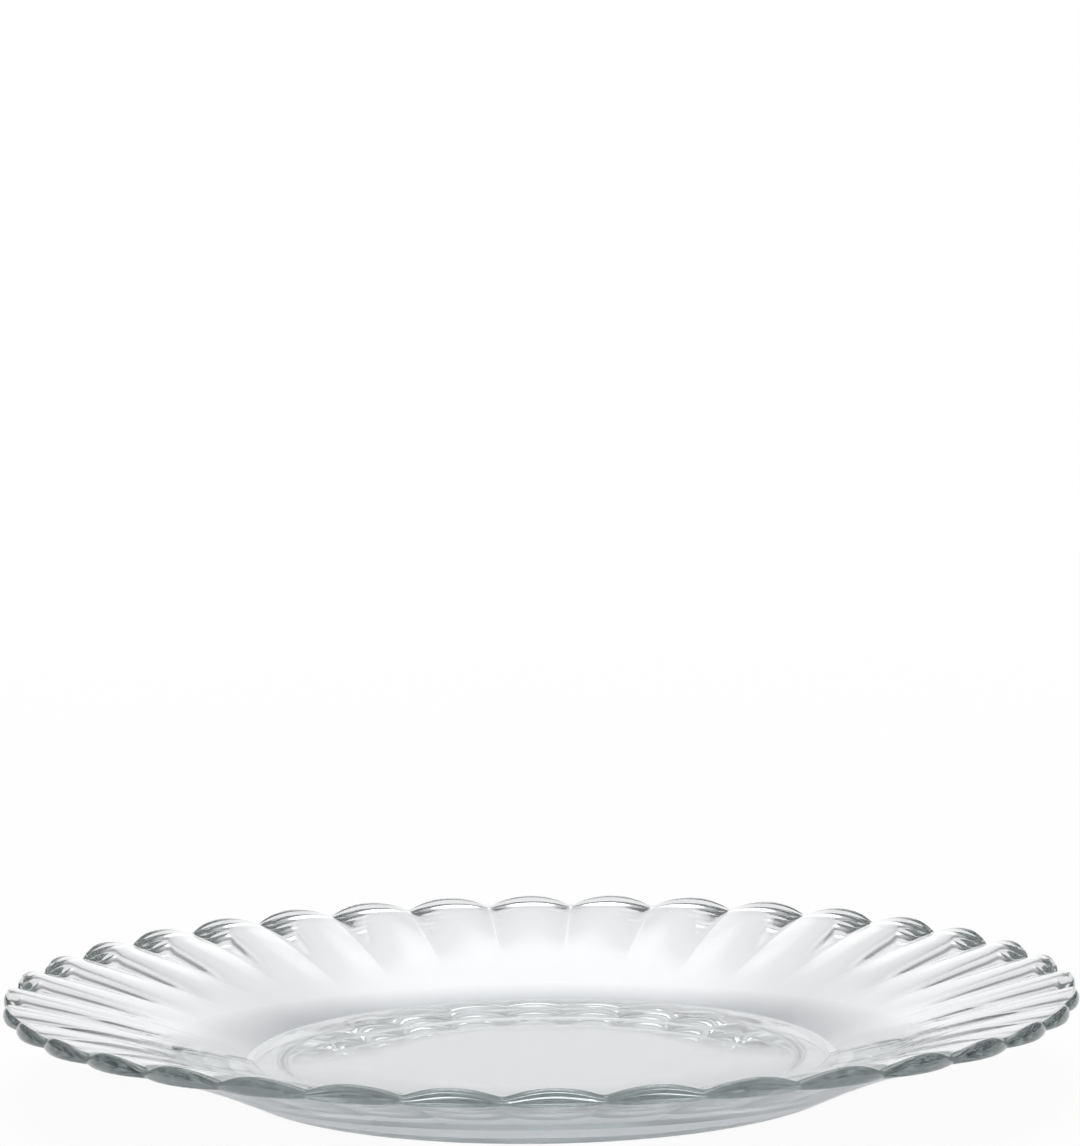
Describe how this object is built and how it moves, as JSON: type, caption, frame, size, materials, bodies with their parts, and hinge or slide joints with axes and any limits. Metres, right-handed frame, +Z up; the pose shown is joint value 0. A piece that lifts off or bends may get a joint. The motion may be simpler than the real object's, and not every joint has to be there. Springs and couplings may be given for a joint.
{
  "type": "scalloped dessert plate",
  "caption": "Round clear pressed-glass dessert plate with a flat well, a sloping wall, a petalled scalloped rim and a low foot ring.",
  "frame": {"origin": "on the table under the plate's centre, in the plane of the foot ring", "axes": "+Z up along the plate's axis; one petal points along +X and another along -Y"},
  "size_m": [0.205, 0.205, 0.0191],
  "materials": {
    "clear_glass": "clear pressed glass, glossy all over, with a faint grey-green tint where it is seen edge on"
  },
  "bodies": {
    "root": {"plate": "clear_glass"}
  },
  "joints": []
}
